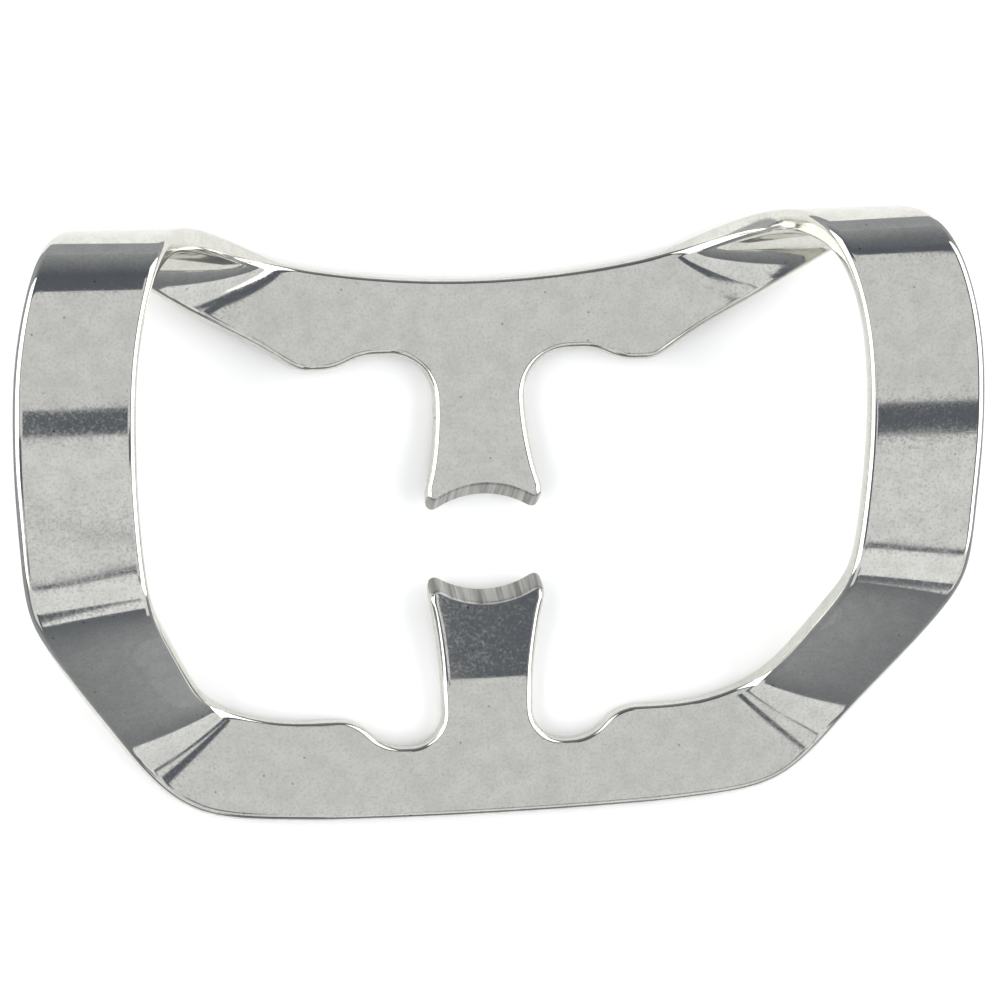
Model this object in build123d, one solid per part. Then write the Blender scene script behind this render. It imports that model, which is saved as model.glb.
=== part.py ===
from build123d import *
import math
import os

os.makedirs("parts", exist_ok=True)

# Spring steel sheet with tumbled edges
sheet = 0.9
edge_break = 0.2

# Two bows arching over the adjacent teeth
bow_span = 35.5
bow_width = 4.35
bow_top = 7.5
bow_near_drop = 1.95
bow_near_y = -0.9
bow_far_y = 11.8

# Near plate at the foot of the bows: forceps notch beside the jaw, then a rounded bump
near_edge_y = 10.4
near_edge_sag = 0.1
near_notch_y = 7.65
near_root = 1.25
near_notch_flat = 0.2
near_bump_run = 2.6
near_bump_rise = 1.15
near_bump_flat = 0.55

# Far plate, turned back under the far end of the bows
far_edge_y = 9.88
far_edge_saddle = 0.58
far_notch_y = 7.15
far_root = 1.7
far_notch_flat = 0.5
far_bump_run = 2.1
far_bump_rise = 0.5
far_bump_flat = 0.3

# Jaws with ground crescent ends
jaw_neck = 1.72
jaw_tip = 2.2
jaw_flare_y = 2.0
jaw_gap = 2.5
jaw_crescent = 0.5
jaw_horn = 0.3
jaw_rise = 8.5
jaw_bevel = 21.0
jaw_bend_y = 5.6
jaw_bend = 4.0

middle = sheet / 2
inner_x = bow_span / 2 - bow_width
outer_x = bow_span / 2
crest = bow_top - middle
fold = crest - bow_near_drop


class Plate:
    def __init__(self, edge_y, edge_bow, notch_y, root, notch_flat, bump_run, bump_rise, bump_flat):
        self.edge_y = edge_y
        self.joint_y = edge_y + edge_bow
        self.notch_y = notch_y
        self.root = root
        self.root_x = jaw_neck + root
        self.notch_x = self.root_x + notch_flat
        self.bump_x = self.notch_x + bump_run
        self.bump_y = notch_y - bump_rise
        self.joint_x = self.bump_x + bump_flat


near = Plate(
    near_edge_y, -near_edge_sag, near_notch_y, near_root,
    near_notch_flat, near_bump_run, near_bump_rise, near_bump_flat,
)
far = Plate(
    far_edge_y, far_edge_saddle, far_notch_y, far_root,
    far_notch_flat, far_bump_run, far_bump_rise, far_bump_flat,
)


def between(start, end, share):
    return start + (end - start) * share


def ruling(inner, outer, height):
    return Vector(*inner, height), Vector(*outer, height)


# Lines across the strip between a plate and the end of the bow: shares of the way in x and y
# at the inner edge, at the outer edge, and share of the rise
def strip_rulings(lines, joint_x, inner_y, outer_y, bow_y, rise):
    found = []
    for inner, outer, lift in lines:
        inner_end = (between(joint_x, inner_x, inner[0]), between(inner_y, bow_y, inner[1]))
        outer_end = (between(joint_x, outer_x, outer[0]), between(outer_y, bow_y, outer[1]))
        found.append(ruling(inner_end, outer_end, middle + rise * lift))
    return found


# Lines across the bow: share of its length, of its drop at the near end, and inset in x
def bow_rulings(lines):
    found = []
    for share, drop, inset in lines:
        y = between(bow_near_y, bow_far_y, share)
        found.append(ruling((inner_x - inset, y), (outer_x - inset, y), crest - drop * bow_near_drop))
    return found


# Flat corner of the near plate, foot, even slope, and fold into the bow
near_strip = strip_rulings([
    ((0.0, 0.0), (0.0, 0.0), 0.0),
    ((0.1, 0.0), (0.14, 0.01), 0.0),
    ((0.29, 0.02), (0.39, 0.035), 0.0),
    ((0.49, 0.1), (0.535, 0.155), 0.0),
    ((0.61, 0.195), (0.645, 0.32), 0.09),
    ((0.715, 0.39), (0.74, 0.49), 0.35),
    ((0.81, 0.625), (0.84, 0.67), 0.625),
    ((0.895, 0.82), (0.925, 0.84), 0.87),
    ((0.95, 1.0), (0.975, 0.97), 1.0),
], near.joint_x, -near.bump_y, -near.joint_y, bow_near_y, fold)

# Low arch that levels out towards the far side
bow_arch = bow_rulings([
    (0.14, 0.58, 0.15),
    (0.33, 0.29, 0.0),
    (0.5, 0.07, 0.0),
    (0.67, -0.02, 0.1),
    (0.845, 0.0, 0.55),
])

# Shoulder, the turn back under it, the twist of the wing, and the flat of the far plate
far_strip = strip_rulings([
    ((0.825, 0.63), (0.9, 0.92), 0.885),
    ((0.715, 1.0), (0.825, 1.02), 0.635),
    ((0.575, 0.96), (0.735, 0.98), 0.42),
    ((0.405, 0.67), (0.595, 0.765), 0.205),
    ((0.235, 0.34), (0.4, 0.455), 0.035),
    ((0.105, 0.12), (0.165, 0.195), 0.0),
    ((0.055, 0.06), (0.05, 0.0), 0.0),
    ((0.0, 0.0), (0.0, 0.0), 0.0),
], far.joint_x, far.joint_y, far.bump_y, bow_far_y, crest - middle)

rulings = near_strip + bow_arch + far_strip


def blend(points, t):
    weights = (
        (1 - t) ** 3,
        3 * t**3 - 6 * t**2 + 4,
        -3 * t**3 + 3 * t**2 + 3 * t + 1,
        t**3,
    )
    total = Vector()
    for point, weight in zip(points, weights):
        total += point * (weight / 6)
    return total


def smooth(points, steps):
    run = [points[0] * 2 - points[1], *points, points[-1] * 2 - points[-2]]
    curve = []
    for k in range(len(points) - 1):
        for j in range(steps):
            curve.append(blend(run[k:k + 4], j / steps))
    return curve + [points[-1]]


def strip_section(width):
    side = width / 2
    upper = [
        (side, middle - edge_break),
        (side - edge_break, middle),
        (edge_break - side, middle),
        (-side, middle - edge_break),
    ]
    lower = [(-x, -z) for x, z in upper]
    return make_face(Polyline(upper + lower, close=True))


def strip(steps=2):
    inner = smooth([line[0] for line in rulings], steps)
    outer = smooth([line[1] for line in rulings], steps)
    last = len(inner) - 1
    sections = []
    for k in range(last + 1):
        across = outer[k] - inner[k]
        unit = across.normalized()
        before = max(k - 1, 0)
        after = min(k + 1, last)
        along = inner[after] + outer[after] - inner[before] - outer[before]
        along = along - unit * along.dot(unit)
        station = Plane(origin=(inner[k] + outer[k]) * 0.5, x_dir=unit, z_dir=along.normalized())
        sections.append(station * strip_section(across.length))
    return loft(sections)


def jaw_profile(reach):
    rise = math.radians(jaw_rise)
    centre = sheet + jaw_bend

    def on_bend(radius, share):
        angle = rise * share
        return Vector(radius * math.sin(angle) - jaw_bend_y, centre - radius * math.cos(angle))

    forward = Vector(math.cos(rise), math.sin(rise)) * jaw_bend_y
    low = on_bend(centre, 1)
    top = on_bend(jaw_bend, 1)
    face = make_face([
        Line((-reach, 0), (-jaw_bend_y, 0)),
        ThreePointArc((-jaw_bend_y, 0), on_bend(centre, 0.5), low),
        Polyline(low, low + forward, top + forward, top),
        ThreePointArc(top, on_bend(jaw_bend, 0.5), (-jaw_bend_y, sheet)),
        Polyline((-jaw_bend_y, sheet), (-reach, sheet), (-reach, 0)),
    ])
    tip_height = low.Y + (-jaw_gap / 2 - low.X) * math.tan(rise)
    return face, tip_height


def plate_outline(plate):
    notch = (plate.notch_x, -plate.notch_y)
    bump = (plate.bump_x, -plate.bump_y)
    swing = ((notch[0] + bump[0]) / 2, (notch[1] + bump[1]) / 2)
    root = (plate.root_x, -plate.notch_y)
    neck = (jaw_neck, plate.root - plate.notch_y)
    flare = (jaw_tip, -jaw_flare_y)
    corner = (plate.joint_x, -plate.joint_y)
    half = make_face([
        Line((0, 0), (0, -plate.edge_y)),
        TangentArc((0, -plate.edge_y), corner, tangent=(1, 0)),
        Polyline(corner, (plate.joint_x, -plate.bump_y), bump),
        TangentArc(bump, swing, tangent=(-1, 0)),
        TangentArc(notch, swing, tangent=(1, 0)),
        Line(notch, root),
        TangentArc(root, neck, tangent=(-1, 0)),
        TangentArc(neck, flare, tangent=(0, 1)),
        Polyline(flare, (jaw_tip, 0), (0, 0)),
    ])
    return half + mirror(half, Plane.YZ)


# Area beyond the two rounded horns and the crescent between them
def crescent_wheel():
    arm = jaw_tip - jaw_horn
    reach = (arm**2 + jaw_crescent**2) / (2 * jaw_crescent)
    lean = math.atan2(reach - jaw_crescent, -arm)

    def on_horn(angle, side):
        return Vector(side * (arm + jaw_horn * math.cos(angle)), jaw_horn * math.sin(angle) - jaw_horn)

    wide = jaw_tip + sheet
    return make_face([
        ThreePointArc(on_horn(0, 1), on_horn(lean / 2, 1), on_horn(lean, 1)),
        ThreePointArc(on_horn(lean, 1), (0, -jaw_crescent), on_horn(lean, -1)),
        ThreePointArc(on_horn(lean, -1), on_horn(lean / 2, -1), on_horn(0, -1)),
        Polyline(
            on_horn(0, -1),
            (-wide, -jaw_horn),
            (-wide, wide),
            (wide, wide),
            (wide, -jaw_horn),
            on_horn(0, 1),
        ),
    ])


# Edges of the upper and lower faces, without those of the joints and the unground tip
def rim(body, joint_x):
    seen = {}
    for face in body.faces():
        if abs(face.normal_at(face.center()).Z) > 0.8:
            for edge in face.edges():
                centre = edge.center()
                key = (round(centre.X, 4), round(centre.Y, 4), round(centre.Z, 4))
                seen.setdefault(key, []).append(edge)
    edges = []
    for key, found in seen.items():
        if len(found) == 1 and abs(key[0]) < joint_x - 0.001 and key[1] < -0.001:
            edges.append(found[0])
    return edges


def jaw_plate(plate):
    face, tip_height = jaw_profile(max(plate.edge_y, plate.joint_y) + sheet)
    bent = extrude(Plane.YZ * face, amount=plate.joint_x + sheet, both=True)
    body = bent & extrude(plate_outline(plate), amount=bow_top)
    body = chamfer(rim(body, plate.joint_x), edge_break)
    slant = math.radians(jaw_rise + jaw_bevel)
    wheel = Plane(
        origin=(0, -jaw_gap / 2, tip_height),
        x_dir=(1, 0, 0),
        z_dir=(0, -math.sin(slant), math.cos(slant)),
    )
    return body - extrude(wheel * crescent_wheel(), amount=4 * sheet, both=True)


bow = strip()
near_plate = jaw_plate(near)
far_plate = Rot(0, 0, 180) * jaw_plate(far)
clamp = near_plate.fuse(far_plate, bow, mirror(bow, Plane.YZ), tol=0.004)

box = clamp.bounding_box()
clamp = Pos(0, -box.center().Y, -box.min.Z) * clamp

print("solids", len(clamp.solids()), "valid", clamp.is_valid, "volume", round(clamp.volume, 1))
print("size", round(box.size.X, 2), round(box.size.Y, 2), round(box.size.Z, 2))
print("tooth axis at y", round(-box.center().Y, 3))
export_step(clamp, "parts/clamp_body.step")
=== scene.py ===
import bmesh
import bpy
import math
from mathutils import Matrix, Vector
from mathutils.geometry import intersect_point_line
from mathutils.kdtree import KDTree


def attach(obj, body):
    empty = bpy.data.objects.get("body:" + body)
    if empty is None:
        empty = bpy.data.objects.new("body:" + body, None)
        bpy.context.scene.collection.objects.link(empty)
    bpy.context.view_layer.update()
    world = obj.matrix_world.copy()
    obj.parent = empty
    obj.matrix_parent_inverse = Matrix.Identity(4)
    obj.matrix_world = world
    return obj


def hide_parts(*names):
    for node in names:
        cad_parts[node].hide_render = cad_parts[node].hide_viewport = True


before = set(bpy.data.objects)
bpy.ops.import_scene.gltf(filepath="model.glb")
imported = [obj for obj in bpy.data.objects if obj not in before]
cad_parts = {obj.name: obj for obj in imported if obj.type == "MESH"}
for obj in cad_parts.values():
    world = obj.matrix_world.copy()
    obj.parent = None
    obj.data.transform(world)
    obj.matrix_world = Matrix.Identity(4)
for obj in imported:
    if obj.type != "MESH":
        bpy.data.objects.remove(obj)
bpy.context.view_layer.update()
print("frame loaded:", sorted(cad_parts))

scene = bpy.context.scene


def toMetres(millimetres):
    return millimetres * 0.001


def perMetre(millimetres):  # texture scale that gives a pattern of this size
    return 1000.0 / millimetres


def hexColor(code):
    parts = [int(code[k:k + 2], 16) / 255 for k in (0, 2, 4)]
    return [c / 12.92 if c <= 0.04045 else ((c + 0.055) / 1.055) ** 2.4 for c in parts] + [1.0]


# Clamp sheet in millimetres: y = 0 midway between the jaw tips, far side +y, z = 0 under the plates
clamp = {
    "sheet": 0.9,
    "rimRound": 0.27,        # rim worn round by tumbling
    "rimBeside": 1.25,       # flat face starts here, in widths of the rim
    "groundRound": 0.05,     # rim of the ground jaw ends
    "bowSpan": 35.5,
    "bowWidth": 4.35,
    "bowTop": 7.5,
    "bowNearDrop": 1.95,
    "bowNearY": -0.9,
    "bowFarY": 11.8,
    "near": {"edgeY": 10.4, "edgeBow": -0.1, "notchY": 7.65, "root": 1.25, "notchFlat": 0.2,
             "bumpRun": 2.6, "bumpRise": 1.15, "bumpFlat": 0.55},
    "far": {"edgeY": 9.88, "edgeBow": 0.58, "notchY": 7.15, "root": 1.7, "notchFlat": 0.5,
            "bumpRun": 2.1, "bumpRise": 0.5, "bumpFlat": 0.3},
    "jawNeck": 1.72,
    "jawTip": 2.2,
    "jawFlareY": 2.0,        # jaw is at full width from here to its horns
    "jawGap": 2.5,
    "jawCrescent": 0.5,
    "jawHorn": 0.3,
    "jawRise": 8.5,
    "jawBevel": 21.0,
    "jawBendY": 5.6,
    "jawBend": 4.0,
    "rootTurn": 50.0,        # where the jaw's own grid leaves the root arc
    "stripSteps": 10,
    "acrossSteps": 9,
    "rimSteps": 6,
    "rootSteps": 8,
    "notchSteps": 4,
    "bumpSteps": 10,
    "flatSteps": 5,
    "neckSteps": 7,
    "flareSteps": 20,
    "hornSteps": 3,
    "jawColumns": 9,
    "slideReach": 1.3,       # length of jaw over which the grid leans to the ground end
    "rimNearest": 4,         # rim points tried for the distance to the rim
    "weld": 0.002,           # points closer than this are one
}

# Lines across the sheet, as shares of the way from a plate's joint to the end of the bow:
# x and y at the inner edge, x and y at the outer edge, and the rise
nearStrip = [
    ((0.0, 0.0), (0.0, 0.0), 0.0),
    ((0.1, 0.0), (0.14, 0.01), 0.0),
    ((0.29, 0.02), (0.39, 0.035), 0.0),
    ((0.49, 0.1), (0.535, 0.155), 0.0),
    ((0.61, 0.195), (0.645, 0.32), 0.09),
    ((0.715, 0.39), (0.74, 0.49), 0.35),
    ((0.81, 0.625), (0.84, 0.67), 0.625),
    ((0.895, 0.82), (0.925, 0.84), 0.87),
    ((0.95, 1.0), (0.975, 0.97), 1.0),
]
bowArch = [  # share of the bow's length, share of its drop, inset
    (0.14, 0.58, 0.15),
    (0.33, 0.29, 0.0),
    (0.5, 0.07, 0.0),
    (0.67, -0.02, 0.1),
    (0.845, 0.0, 0.55),
]
farStrip = [
    ((0.825, 0.63), (0.9, 0.92), 0.885),
    ((0.715, 1.0), (0.825, 1.02), 0.635),
    ((0.575, 0.96), (0.735, 0.98), 0.42),
    ((0.405, 0.67), (0.595, 0.765), 0.205),
    ((0.235, 0.34), (0.4, 0.455), 0.035),
    ((0.105, 0.12), (0.165, 0.195), 0.0),
    ((0.055, 0.06), (0.05, 0.0), 0.0),
    ((0.0, 0.0), (0.0, 0.0), 0.0),
]


def plateShape(sizes):
    plate = dict(sizes)
    plate["rootX"] = clamp["jawNeck"] + plate["root"]
    plate["notchX"] = plate["rootX"] + plate["notchFlat"]
    plate["bumpX"] = plate["notchX"] + plate["bumpRun"]
    plate["bumpY"] = plate["notchY"] - plate["bumpRise"]
    plate["jointX"] = plate["bumpX"] + plate["bumpFlat"]
    plate["jointY"] = plate["edgeY"] + plate["edgeBow"]
    return plate


nearPlate = plateShape(clamp["near"])
farPlate = plateShape(clamp["far"])


def between(start, end, share):
    return start + (end - start) * share


def stripLines(lines, jointX, innerY, outerY, bowY, rise):
    middle = clamp["sheet"] / 2
    outerX = clamp["bowSpan"] / 2
    innerX = outerX - clamp["bowWidth"]
    found = []
    for inner, outer, lift in lines:
        z = middle + rise * lift
        innerEnd = Vector((between(jointX, innerX, inner[0]), between(innerY, bowY, inner[1]), z))
        outerEnd = Vector((between(jointX, outerX, outer[0]), between(outerY, bowY, outer[1]), z))
        found.append((innerEnd, outerEnd))
    return found


def clampLines():
    middle = clamp["sheet"] / 2
    crest = clamp["bowTop"] - middle
    drop = clamp["bowNearDrop"]
    outerX = clamp["bowSpan"] / 2
    nearY, farY = clamp["bowNearY"], clamp["bowFarY"]
    lines = stripLines(nearStrip, nearPlate["jointX"], -nearPlate["bumpY"], -nearPlate["jointY"],
                       nearY, crest - drop)
    for share, fall, inset in bowArch:
        outer = Vector((outerX - inset, between(nearY, farY, share), crest - fall * drop))
        lines.append((outer - Vector((clamp["bowWidth"], 0, 0)), outer))
    return lines + stripLines(farStrip, farPlate["jointX"], farPlate["jointY"], farPlate["bumpY"],
                              farY, crest - middle)


# Even cubic B-spline along the strip's edge, held at both ends
def smoothEdge(points, steps):
    run = [points[0] * 2 - points[1], *points, points[-1] * 2 - points[-2]]
    curve = []
    for k in range(len(points) - 1):
        a, b, c, d = run[k:k + 4]
        for step in range(steps):
            t = step / steps
            curve.append((a * (1 - t) ** 3 + b * (3 * t**3 - 6 * t**2 + 4)
                          + c * (3 * t + 3 * t**2 - 3 * t**3 + 1) + d * t**3) / 6)
    return curve + [points[-1]]


def stripStations():
    lines = clampLines()
    inner = smoothEdge([line[0] for line in lines], clamp["stripSteps"])
    outer = smoothEdge([line[1] for line in lines], clamp["stripSteps"])
    return list(zip(inner, outer))


# Closer lines where the rim rolls over, and one more that keeps the face beside it flat
def rimShares(length):
    steps = clamp["rimSteps"]
    shares = [1 - math.cos(math.pi / 2 * k / steps) for k in range(steps + 1)]
    return [clamp["rimRound"] * share / length for share in shares + [clamp["rimBeside"]]]


def acrossShares(length):
    rim, steps = rimShares(length), clamp["acrossSteps"]
    inside = [between(rim[-1], 1 - rim[-1], k / steps) for k in range(1, steps)]
    return rim + inside + [1 - share for share in reversed(rim)]


def columnShares():
    rim, steps = rimShares(clamp["jawNeck"]), clamp["jawColumns"]
    return [(1 - rim[-1]) * k / steps for k in range(steps)] + [1 - share for share in reversed(rim)]


# Height of the sheet's middle along a jaw, by the distance from the tooth axis
def jawHeight(reach):
    middle = clamp["sheet"] / 2
    rise = math.radians(clamp["jawRise"])
    radius = clamp["jawBend"] + middle
    run = clamp["jawBendY"] - reach
    if run <= 0:
        return middle
    if run < radius * math.sin(rise):
        return middle + radius - math.sqrt(radius**2 - run**2)
    return middle + radius * (1 - math.cos(rise)) + (run - radius * math.sin(rise)) * math.tan(rise)


def rootPoint(plate, angle):  # arc between the notch and the jaw's neck
    x = plate["rootX"] - plate["root"] * math.sin(angle)
    return x, plate["notchY"] - plate["root"] * (1 - math.cos(angle))


def edgeHeight(plate, x):  # long edge of a plate, a shallow arc
    radius = (plate["jointX"]**2 + plate["edgeBow"]**2) / (2 * plate["edgeBow"])
    return plate["edgeY"] + radius - math.copysign(math.sqrt(radius**2 - x**2), radius)


# Notch side of a plate from the jaw's middle to the joint: jaw base, root arc, notch, bump
def plateStations(plate):
    turn = math.radians(clamp["rootTurn"])
    baseX, baseY = rootPoint(plate, turn)
    side = [(baseX * share, baseY) for share in columnShares()]
    steps = clamp["rootSteps"]
    side += [rootPoint(plate, turn * k / steps) for k in reversed(range(steps))]
    steps = clamp["notchSteps"]
    side += [(between(plate["rootX"], plate["notchX"], k / steps), plate["notchY"]) for k in range(1, steps)]
    halfRun, halfRise = plate["bumpRun"] / 2, plate["bumpRise"] / 2
    radius = (halfRun**2 + halfRise**2) / (2 * halfRise)
    swing = 2 * math.atan2(halfRise, halfRun)
    steps = clamp["bumpSteps"]
    arc = []
    for k in range(steps + 1):
        angle = swing * k / steps
        arc.append((radius * math.sin(angle), radius * (1 - math.cos(angle))))
    side += [(plate["notchX"] + run, plate["notchY"] - rise) for run, rise in arc]
    side += [(plate["bumpX"] - run, plate["bumpY"] + rise) for run, rise in reversed(arc[:-1])]
    steps = clamp["flatSteps"]
    shares = [k / steps for k in range(1, steps + 1)]
    side += [(between(plate["bumpX"], plate["jointX"], share), plate["bumpY"]) for share in shares]
    return side, [(x, edgeHeight(plate, x)) for x, _ in side]


# Ground end on the sheet's middle: height of the crescent and horn at x, and the horn's outer corner
def jawEnd():
    horn, depth = clamp["jawHorn"], clamp["jawCrescent"]
    arm = clamp["jawTip"] - horn
    span = (arm**2 + depth**2) / (2 * depth)
    swing = math.atan2(arm, span - depth)
    lean = (math.pi / 2 + swing) / 2
    rise, bevel = math.radians(clamp["jawRise"]), math.radians(clamp["jawBevel"])
    middle, gap = clamp["sheet"] / 2, clamp["jawGap"] / 2
    back = middle * (math.tan(bevel) * math.cos(rise) + math.sin(rise)) + gap

    def onMiddle(x, y):
        return x, back - y * math.cos(rise) / math.cos(bevel)

    def endPoint(x):
        if x < (span - horn) * math.sin(swing):
            return onMiddle(x, span - depth - horn - math.sqrt((span - horn)**2 - x**2))
        return onMiddle(x, math.sqrt(horn**2 - (x - arm)**2) - horn)

    steps = clamp["hornSteps"]
    corner = []
    for k in range(steps + 1):
        angle = lean * k / steps
        corner.append(onMiddle(arm + horn * math.cos(angle), horn * math.sin(angle) - horn))
    return endPoint, corner


# Grid of a jaw from its base to its ground end, with its own sides as the outer columns
def jawRows(plate):
    turn = math.radians(clamp["rootTurn"])
    neckY = plate["notchY"] - plate["root"]
    wide = clamp["jawTip"] - clamp["jawNeck"]
    flare = neckY - clamp["jawFlareY"]
    radius = (wide**2 + flare**2) / (2 * wide)
    steps = clamp["neckSteps"]
    side = [rootPoint(plate, between(turn, math.pi / 2, k / steps)) for k in range(steps)]
    steps = clamp["flareSteps"]
    for k in range(steps + 1):
        run = flare * k / steps
        side.append((clamp["jawNeck"] + radius - math.sqrt(radius**2 - run**2), neckY - run))
    hornStart = len(side)
    endPoint, corner = jawEnd()
    side += corner
    shares = columnShares()
    baseY, (cornerX, cornerY) = side[0][1], corner[-1]
    ends = [endPoint(cornerX * share)[1] for share in shares]
    rows = []
    for x, y in side:
        along = (y - baseY) / (cornerY - baseY)
        row = []
        for share, endY in zip(shares, ends):
            straight = between(between(baseY, ends[0], along), y, share)
            row.append((x * share, straight + along * (endY - between(ends[0], cornerY, share))))
        rows.append(row)
    return rows, hornStart


def addGrid(sheet, rows):
    grid = [[sheet.verts.new(point) for point in row] for row in rows]
    for i in range(len(grid) - 1):
        for k in range(len(grid[i]) - 1):
            sheet.faces.new((grid[i][k], grid[i][k + 1], grid[i + 1][k + 1], grid[i + 1][k]))
    return grid


# Middle surface of the sheet: a ring of lines across the strip, with a jaw on each plate
def middleSheet():
    middle = clamp["sheet"] / 2
    sheet = bmesh.new()
    ground = sheet.verts.layers.int.new("groundEnd")
    slide = sheet.verts.layers.float.new("slideShare")
    notchSide, edgeSide = plateStations(nearPlate)
    stations = [(Vector((*a, middle)), Vector((*b, middle))) for a, b in zip(notchSide, edgeSide)]
    stations = [(a * Vector((1, -1, 1)), b * Vector((1, -1, 1))) for a, b in stations[:-1]]
    stations += stripStations()
    notchSide, edgeSide = plateStations(farPlate)
    farStations = [(Vector((*b, middle)), Vector((*a, middle))) for a, b in zip(notchSide, edgeSide)]
    stations += farStations[-2::-1]
    addGrid(sheet, [[a.lerp(b, share) for share in acrossShares((b - a).length)] for a, b in stations])
    for plate, side in ((nearPlate, -1), (farPlate, 1)):
        rows, hornStart = jawRows(plate)
        grid = addGrid(sheet, [[(x, side * y, jawHeight(y)) for x, y in row] for row in rows])
        last = len(grid) - 1
        for i, row in enumerate(grid):
            for k, vert in enumerate(row):
                vert[ground] = int(i == last or (k == len(row) - 1 and i > hornStart))
                vert[slide] = max(0.0, 1 - (vert.co - grid[last][k].co).length / clamp["slideReach"])
    bmesh.ops.remove_doubles(sheet, verts=sheet.verts, dist=clamp["weld"])
    whole = sheet.verts[:] + sheet.edges[:] + sheet.faces[:]
    bmesh.ops.mirror(sheet, geom=whole, matrix=Matrix.Identity(4), merge_dist=clamp["weld"], axis="X")
    bmesh.ops.recalc_face_normals(sheet, faces=sheet.faces)
    sheet.normal_update()
    return sheet, ground, slide


# Half thickness at every point, falling away where the tumbled rim rolls over
def halfHeights(sheet, ground):
    half, rolled = clamp["sheet"] / 2, clamp["rimRound"]
    rimVerts = [v for v in sheet.verts if any(e.is_boundary for e in v.link_edges)]
    rimEdges = []
    for vert in rimVerts:
        edges = [e for e in vert.link_edges if e.is_boundary]
        rimEdges.append([e for e in edges if not all(v[ground] for v in e.verts)])
    tree = KDTree(len(rimVerts))
    for k, vert in enumerate(rimVerts):
        tree.insert(vert.co, k)
    tree.balance()
    heights = {}
    for vert in sheet.verts:
        away = rolled
        for _, k, _ in tree.find_n(vert.co, clamp["rimNearest"]):
            for edge in rimEdges[k]:
                a, b = (v.co for v in edge.verts)
                _, share = intersect_point_line(vert.co, a, b)
                foot = a.lerp(b, min(1.0, max(0.0, share)))
                away = min(away, (vert.co - foot).length)
        heights[vert] = half - rolled + math.sqrt(rolled**2 - (rolled - away)**2)
    return heights


# Both faces and the rim, with the jaw ends ground back towards the upper face
def thickSheet(sheet, ground, slide):
    rise = math.radians(clamp["jawRise"])
    lean = math.tan(math.radians(clamp["jawBevel"]))
    ease = clamp["groundRound"]
    heights = halfHeights(sheet, ground)
    solid = bmesh.new()

    def faceVert(vert, level, drawn):
        forward = Vector((0, -math.copysign(math.cos(rise), vert.co.y), math.sin(rise)))
        shift = vert[slide] * lean * math.copysign(level, level * vert.normal.z) + drawn
        return solid.verts.new(vert.co + vert.normal * level - forward * shift)

    columns = {}
    for vert in sheet.verts:
        height = heights[vert]
        if vert[ground]:
            levels = [(height, ease), (height - ease, 0), (height - 2 * ease, 0)]
        else:
            levels = [(height, 0)]
        levels += [(-level, drawn) for level, drawn in reversed(levels)]
        columns[vert] = [faceVert(vert, level, drawn) for level, drawn in levels]
    for face in sheet.faces:
        solid.faces.new([columns[vert][0] for vert in face.verts])
        solid.faces.new([columns[vert][-1] for vert in reversed(face.verts)])
    for edge in sheet.edges:
        if edge.is_boundary:
            loop = edge.link_loops[0]
            a, b = columns[loop.link_loop_next.vert], columns[loop.vert]
            if loop.vert[ground] and loop.link_loop_next.vert[ground]:
                for k in range(len(a) - 1):
                    solid.faces.new((a[k], b[k], b[k + 1], a[k + 1])).material_index = 1
            else:
                solid.faces.new(b + a[::-1])
    bmesh.ops.recalc_face_normals(solid, faces=solid.faces)
    return solid


def buildClamp():
    sheet, ground, slide = middleSheet()
    solid = thickSheet(sheet, ground, slide)
    ys = [vert.co.y for vert in solid.verts]
    bmesh.ops.translate(solid, verts=solid.verts, vec=(0, -(min(ys) + max(ys)) / 2, 0))
    bmesh.ops.scale(solid, verts=solid.verts, vec=[toMetres(1)] * 3)
    for face in solid.faces:
        face.smooth = True
    print("open edges:", sum(not edge.is_manifold for edge in solid.edges))
    mesh = bpy.data.meshes.new("clampBody")
    solid.to_mesh(mesh)
    sheet.free()
    solid.free()
    piece = bpy.data.objects.new("clampBody", mesh)
    scene.collection.objects.link(piece)
    return piece


def addNode(tree, kind, settings, links=None):
    node = tree.nodes.new(kind)
    for name, value in settings.items():
        if isinstance(name, int) or name in node.inputs:
            node.inputs[name].default_value = value
        else:
            setattr(node, name, value)
    for name, socket in (links or {}).items():
        tree.links.new(socket, node.inputs[name])
    return node


def newMaterial(name):
    material = bpy.data.materials.new(name)
    material.use_nodes = True
    material.node_tree.nodes.clear()
    return material, material.node_tree


# Stainless spring steel, tumbled and buffed: a soft mirror, clouded in places,
# with fine grain, faint waves from the bending, short hairlines and a few pits
springSteel = {
    "base": "D3D2CB",
    "cloud": "C9C8C1",
    "grain": "B3B2AB",
    "pit": "8E8E8B",
    "roughLow": 0.05,
    "roughHigh": 0.07,
    "roughGrain": 0.15,      # dull specks: light on a dark reflection, dark on a light one
    "grainMm": 0.11,         # finer on the real one; drawn coarse enough to show
    "grainStarts": 0.46,     # levels of a pattern at which its mark starts and is full
    "grainFull": 0.9,
    "cloudMm": 0.7,
    "cloudStarts": 0.38,
    "cloudFull": 0.66,
    "waveMm": 2.6,
    "hairlineLongMm": 1.1,
    "hairlineWideMm": 0.05,
    "hairlineTurn": 0.25,
    "hairlineStarts": 0.76,
    "hairlineFull": 0.84,
    "pitMm": 0.85,           # distance from pit to pit
    "pitFloor": 0.025,       # as shares of that distance
    "pitRim": 0.065,
    "waveHeightMm": 0.004,
    "grainHeightMm": 0.00025,
    "hairlineHeightMm": 0.00008,
}


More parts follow.
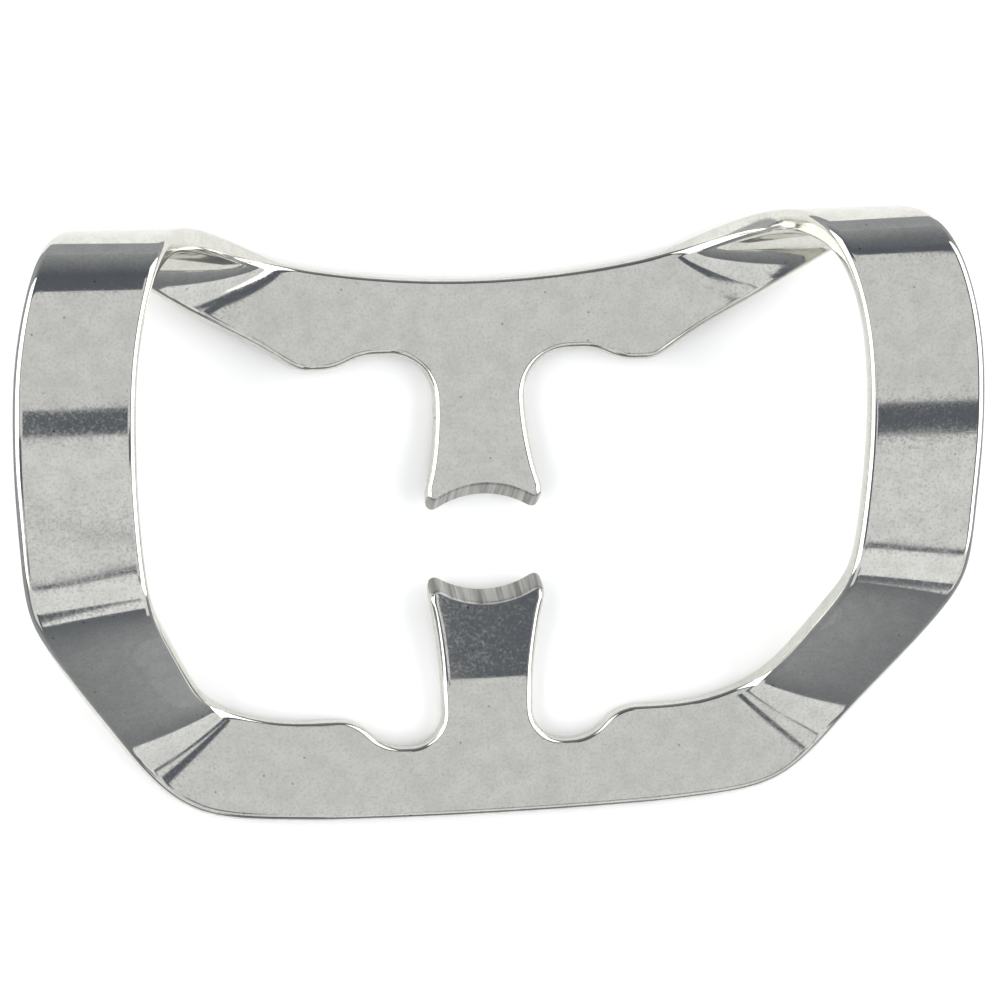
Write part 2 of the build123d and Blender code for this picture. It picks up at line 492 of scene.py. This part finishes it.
def buffedSteel():
    look = springSteel
    material, tree = newMaterial("tumbledSpringSteel")
    place = addNode(tree, "ShaderNodeTexCoord", {}).outputs["Object"]
    wave = addNode(tree, "ShaderNodeTexNoise",
                   {"Scale": perMetre(look["waveMm"]), "Detail": 1.0},
                   {"Vector": place})
    cloud = addNode(tree, "ShaderNodeTexNoise",
                    {"Scale": perMetre(look["cloudMm"]), "Detail": 3.0, "Roughness": 0.6},
                    {"Vector": place})
    grain = addNode(tree, "ShaderNodeTexNoise",
                    {"Scale": perMetre(look["grainMm"]), "Detail": 2.0, "Roughness": 0.7},
                    {"Vector": place})
    long, wide = perMetre(look["hairlineLongMm"]), perMetre(look["hairlineWideMm"])
    turned = addNode(tree, "ShaderNodeMapping",
                     {"Rotation": (0.0, 0.0, look["hairlineTurn"]), "Scale": (long, wide, wide)},
                     {"Vector": place})
    streak = addNode(tree, "ShaderNodeTexNoise", {"Scale": 1.0, "Detail": 0.0},
                     {"Vector": turned.outputs["Vector"]})
    hairline = addNode(tree, "ShaderNodeMapRange",
                       {"From Min": look["hairlineStarts"], "From Max": look["hairlineFull"]},
                       {"Value": streak.outputs["Fac"]})
    cell = addNode(tree, "ShaderNodeTexVoronoi", {"Scale": perMetre(look["pitMm"])}, {"Vector": place})
    pit = addNode(tree, "ShaderNodeMapRange",
                  {"From Min": look["pitFloor"], "From Max": look["pitRim"], "To Min": 1.0, "To Max": 0.0},
                  {"Value": cell.outputs["Distance"]})
    dull = addNode(tree, "ShaderNodeMapRange",
                   {"From Min": look["cloudStarts"], "From Max": look["cloudFull"]},
                   {"Value": cloud.outputs["Fac"]})
    pepper = addNode(tree, "ShaderNodeMapRange",
                     {"From Min": look["grainStarts"], "From Max": look["grainFull"]},
                     {"Value": grain.outputs["Fac"]})
    clouded = addNode(tree, "ShaderNodeMix",
                      {"data_type": "RGBA", "A": hexColor(look["base"]), "B": hexColor(look["cloud"])},
                      {"Factor": dull.outputs["Result"]})
    grained = addNode(tree, "ShaderNodeMix", {"data_type": "RGBA", "B": hexColor(look["grain"])},
                      {"Factor": pepper.outputs["Result"], "A": clouded.outputs["Result"]})
    pitted = addNode(tree, "ShaderNodeMix", {"data_type": "RGBA", "B": hexColor(look["pit"])},
                     {"Factor": pit.outputs["Result"], "A": grained.outputs["Result"]})
    smooth = addNode(tree, "ShaderNodeMapRange",
                     {"To Min": look["roughLow"], "To Max": look["roughHigh"]},
                     {"Value": dull.outputs["Result"]})
    rough = addNode(tree, "ShaderNodeMath", {"operation": "MULTIPLY_ADD", 1: look["roughGrain"]},
                    {0: pepper.outputs["Result"], 2: smooth.outputs["Result"]})
    soft = addNode(tree, "ShaderNodeBump", {"Distance": toMetres(look["waveHeightMm"])},
                   {"Height": wave.outputs["Fac"]})
    fine = addNode(tree, "ShaderNodeBump", {"Distance": toMetres(look["grainHeightMm"])},
                   {"Height": grain.outputs["Fac"], "Normal": soft.outputs["Normal"]})
    cut = addNode(tree, "ShaderNodeBump",
                  {"Distance": toMetres(look["hairlineHeightMm"]), "invert": True},
                  {"Height": hairline.outputs["Result"], "Normal": fine.outputs["Normal"]})
    steel = addNode(tree, "ShaderNodeBsdfPrincipled", {"Metallic": 1.0},
                    {"Base Color": pitted.outputs["Result"], "Roughness": rough.outputs["Value"],
                     "Normal": cut.outputs["Normal"]})
    addNode(tree, "ShaderNodeOutputMaterial", {}, {"Surface": steel.outputs["BSDF"]})
    return material


# The same steel off the grinding wheel: dull, with bright and dark ribs and lines through the sheet
groundSteelLook = {
    "light": "BABAB6",
    "dark": "868581",
    "rough": 0.42,
    "lineMm": 0.08,
    "ribMm": 0.25,
    "lineSpread": 0.04,      # lines run on through the sheet, so their pattern is drawn out there
    "darkLevel": 0.75,       # levels of lines and ribs together
    "lightLevel": 1.25,
    "lineHeightMm": 0.006,
}


def groundSteel():
    look = groundSteelLook
    material, tree = newMaterial("groundSpringSteel")
    place = addNode(tree, "ShaderNodeTexCoord", {}).outputs["Object"]
    spread = look["lineSpread"]
    stretch = addNode(tree, "ShaderNodeMapping", {"Scale": (1.0, spread, spread)}, {"Vector": place})
    line = addNode(tree, "ShaderNodeTexNoise", {"Scale": perMetre(look["lineMm"]), "Detail": 3.0},
                   {"Vector": stretch.outputs["Vector"]})
    rib = addNode(tree, "ShaderNodeTexNoise", {"Scale": perMetre(look["ribMm"]), "Detail": 1.0},
                  {"Vector": stretch.outputs["Vector"]})
    both = addNode(tree, "ShaderNodeMath", {"operation": "ADD"},
                   {0: line.outputs["Fac"], 1: rib.outputs["Fac"]})
    share = addNode(tree, "ShaderNodeMapRange",
                    {"From Min": look["darkLevel"], "From Max": look["lightLevel"]},
                    {"Value": both.outputs["Value"]})
    color = addNode(tree, "ShaderNodeMix",
                    {"data_type": "RGBA", "A": hexColor(look["dark"]), "B": hexColor(look["light"])},
                    {"Factor": share.outputs["Result"]})
    cut = addNode(tree, "ShaderNodeBump", {"Distance": toMetres(look["lineHeightMm"])},
                  {"Height": both.outputs["Value"]})
    steel = addNode(tree, "ShaderNodeBsdfPrincipled", {"Metallic": 1.0, "Roughness": look["rough"]},
                    {"Base Color": color.outputs["Result"], "Normal": cut.outputs["Normal"]})
    addNode(tree, "ShaderNodeOutputMaterial", {}, {"Surface": steel.outputs["BSDF"]})
    return material


clampBody = buildClamp()
clampBody.data.materials.append(buffedSteel())
clampBody.data.materials.append(groundSteel())
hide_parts("clamp_body")
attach(clampBody, "root")
print("clamp built:", len(clampBody.data.polygons), "faces")

# White card under the part, on a pale grey table
floorLook = {
    "card": {"name": "whiteCard", "size": 0.042, "middle": (0.0005, 0.0005), "top": -0.00002,
             "color": "F6F6F4", "rough": 0.9},
    "table": {"name": "greyTable", "size": 3.0, "middle": (0, 0), "top": -0.0004,
              "color": "929598", "rough": 0.9},
}


def buildFloor(sheet):
    half = sheet["size"] / 2
    mesh = bpy.data.meshes.new(sheet["name"])
    corners = [(-half, -half, 0), (half, -half, 0), (half, half, 0), (-half, half, 0)]
    mesh.from_pydata(corners, [], [(0, 1, 2, 3)])
    floor = bpy.data.objects.new(sheet["name"], mesh)
    floor.location = (*sheet["middle"], sheet["top"])
    scene.collection.objects.link(floor)
    material, tree = newMaterial(sheet["name"] + "Matt")
    matt = addNode(tree, "ShaderNodeBsdfPrincipled",
                   {"Base Color": hexColor(sheet["color"]), "Roughness": sheet["rough"]})
    addNode(tree, "ShaderNodeOutputMaterial", {}, {"Surface": matt.outputs["BSDF"]})
    mesh.materials.append(material)


for sheet in floorLook.values():
    buildFloor(sheet)
print("floor laid")

# Soft panels in a ceiling over the part, by the angles from straight up that they reach to,
# and a card leaning on each side, from its upper to its lower edge
studio = {
    "ceiling": 0.6,
    "panels": [
        {"name": "overheadLeft", "left": -24, "right": -5, "far": -32.5, "near": 21.4, "radiance": 0.73},
        {"name": "overheadMiddle", "left": -5, "right": 8.6, "far": -32.5, "near": 15.4, "radiance": 0.73},
        {"name": "overheadRight", "left": 8.6, "right": 22.5, "far": -45, "near": 21.3, "radiance": 0.73},
        {"name": "bridgeLeft", "left": -5, "right": 0.4, "far": 15.4, "near": 21.4, "radiance": 0.78},
        {"name": "bridgeRight", "left": 5, "right": 8.6, "far": 15.4, "near": 21.4, "radiance": 0.78},
        {"name": "nearMiddle", "left": -5, "right": 8.6, "far": 21.4, "near": 31.3, "radiance": 0.8},
        {"name": "nearRight", "left": 8.6, "right": 24, "far": 27, "near": 33, "radiance": 0.82},
        {"name": "frontLeft", "left": -50, "right": -5, "far": 31, "near": 64, "radiance": 0.84},
        {"name": "frontMiddle", "left": -5, "right": 8.6, "far": 32.6, "near": 46, "radiance": 0.89},
        {"name": "frontRight", "left": 8.6, "right": 26, "far": 35, "near": 57, "radiance": 0.96},
        {"name": "cornerRight", "left": 26, "right": 58, "far": 33, "near": 66, "radiance": 0.84},
    ],
    "cardTop": 32,           # angle from straight up of the cards' upper edge
    "cardFoot": (1.5, 0.05),  # lower edge: metres to the side, and up
    "cardFar": 1.0,
    "cardNear": 0.45,
    "cardRadiance": 2.8,
    "room": "686D77",
    "horizon": "AAADB2",
    "horizonTop": 0.6,       # share of the way up at which the horizon has faded
}


def addLight(name, place, lean, width, depth, radiance):
    light = bpy.data.lights.new(name, "AREA")
    light.shape = "RECTANGLE"
    light.size = width
    light.size_y = depth
    light.energy = radiance * math.pi * width * depth  # watts that give a flat lamp this radiance
    lamp = bpy.data.objects.new(name, light)
    lamp.location = place
    lamp.rotation_euler = (0, lean, 0)
    lamp.visible_camera = False
    scene.collection.objects.link(lamp)


def addPanel(panel):
    height = studio["ceiling"]
    sides = ("left", "right", "far", "near")
    left, right, far, near = (height * math.tan(math.radians(panel[side])) for side in sides)
    place = ((left + right) / 2, -(far + near) / 2, height)
    addLight(panel["name"], place, 0, right - left, near - far, panel["radiance"])


def addCard(name, side):
    height = studio["ceiling"]
    topX = height * math.tan(math.radians(studio["cardTop"]))
    footX, footZ = studio["cardFoot"]
    far, near = studio["cardFar"], studio["cardNear"]
    place = (side * (topX + footX) / 2, (far - near) / 2, (height + footZ) / 2)
    width = math.hypot(footX - topX, height - footZ)
    lean = side * math.atan2(height - footZ, footX - topX)
    addLight(name, place, lean, width, far + near, studio["cardRadiance"])


for panel in studio["panels"]:
    addPanel(panel)
addCard("leftCard", -1)
addCard("rightCard", 1)


def buildRoom():
    world = bpy.data.worlds.new("studioRoom")
    world.use_nodes = True
    tree = world.node_tree
    tree.nodes.clear()
    way = addNode(tree, "ShaderNodeTexCoord", {}).outputs["Generated"]
    height = addNode(tree, "ShaderNodeSeparateXYZ", {}, {"Vector": way})
    share = addNode(tree, "ShaderNodeMapRange", {"From Max": studio["horizonTop"]},
                    {"Value": height.outputs["Z"]})
    horizon, room = hexColor(studio["horizon"]), hexColor(studio["room"])
    color = addNode(tree, "ShaderNodeMix", {"data_type": "RGBA", "A": horizon, "B": room},
                    {"Factor": share.outputs["Result"]})
    glow = addNode(tree, "ShaderNodeBackground", {}, {"Color": color.outputs["Result"]})
    addNode(tree, "ShaderNodeOutputWorld", {}, {"Surface": glow.outputs["Background"]})
    scene.world = world


buildRoom()
scene.view_settings.view_transform = "Standard"
print("studio lit:", len(studio["panels"]), "panels and 2 cards")

# Camera almost straight above, leaning to the far left
photoView = {
    "pitchDeg": 6.0,
    "yawDeg": -9.5,
    "rollDeg": 1.6,
    "distanceMm": 150.0,
    "pixelsPerMm": 26.6,
    "framePixels": 1000,
    "aimMm": (0, -0.92, 0.9),  # this point is seen at this pixel
    "aimPixel": (484, 542),
    "sensorMm": 36.0,
    "clipMm": 1.0,
}


def placeCamera():
    view = photoView
    pitch, yaw, roll = (math.radians(view[k]) for k in ("pitchDeg", "yawDeg", "rollDeg"))
    back = Vector((math.sin(yaw) * math.cos(pitch), math.sin(pitch), math.cos(yaw) * math.cos(pitch)))
    right = Vector((0, 1, 0)).cross(back).normalized()
    right = Matrix.Rotation(-roll, 3, back) @ right
    up = back.cross(right)
    aimed = Vector(view["aimMm"])
    place = toMetres(aimed + back * view["distanceMm"])
    centre = view["framePixels"] / 2
    dx = (centre - view["aimPixel"][0]) / view["pixelsPerMm"]
    dy = (view["aimPixel"][1] - centre) / view["pixelsPerMm"]
    aim = toMetres(aimed + right * dx + up * dy)
    back = (place - aim).normalized()
    right = up.cross(back).normalized()
    up = back.cross(right)
    lens = bpy.data.cameras.new("photoCamera")
    lens.sensor_width = view["sensorMm"]
    lens.lens = view["sensorMm"] * view["pixelsPerMm"] * view["distanceMm"] / view["framePixels"]
    lens.clip_start = toMetres(view["clipMm"])
    camera = bpy.data.objects.new("photoCamera", lens)
    camera.matrix_world = Matrix.Translation(place) @ Matrix((right, up, back)).transposed().to_4x4()
    scene.collection.objects.link(camera)
    scene.camera = camera


placeCamera()
print("camera placed")
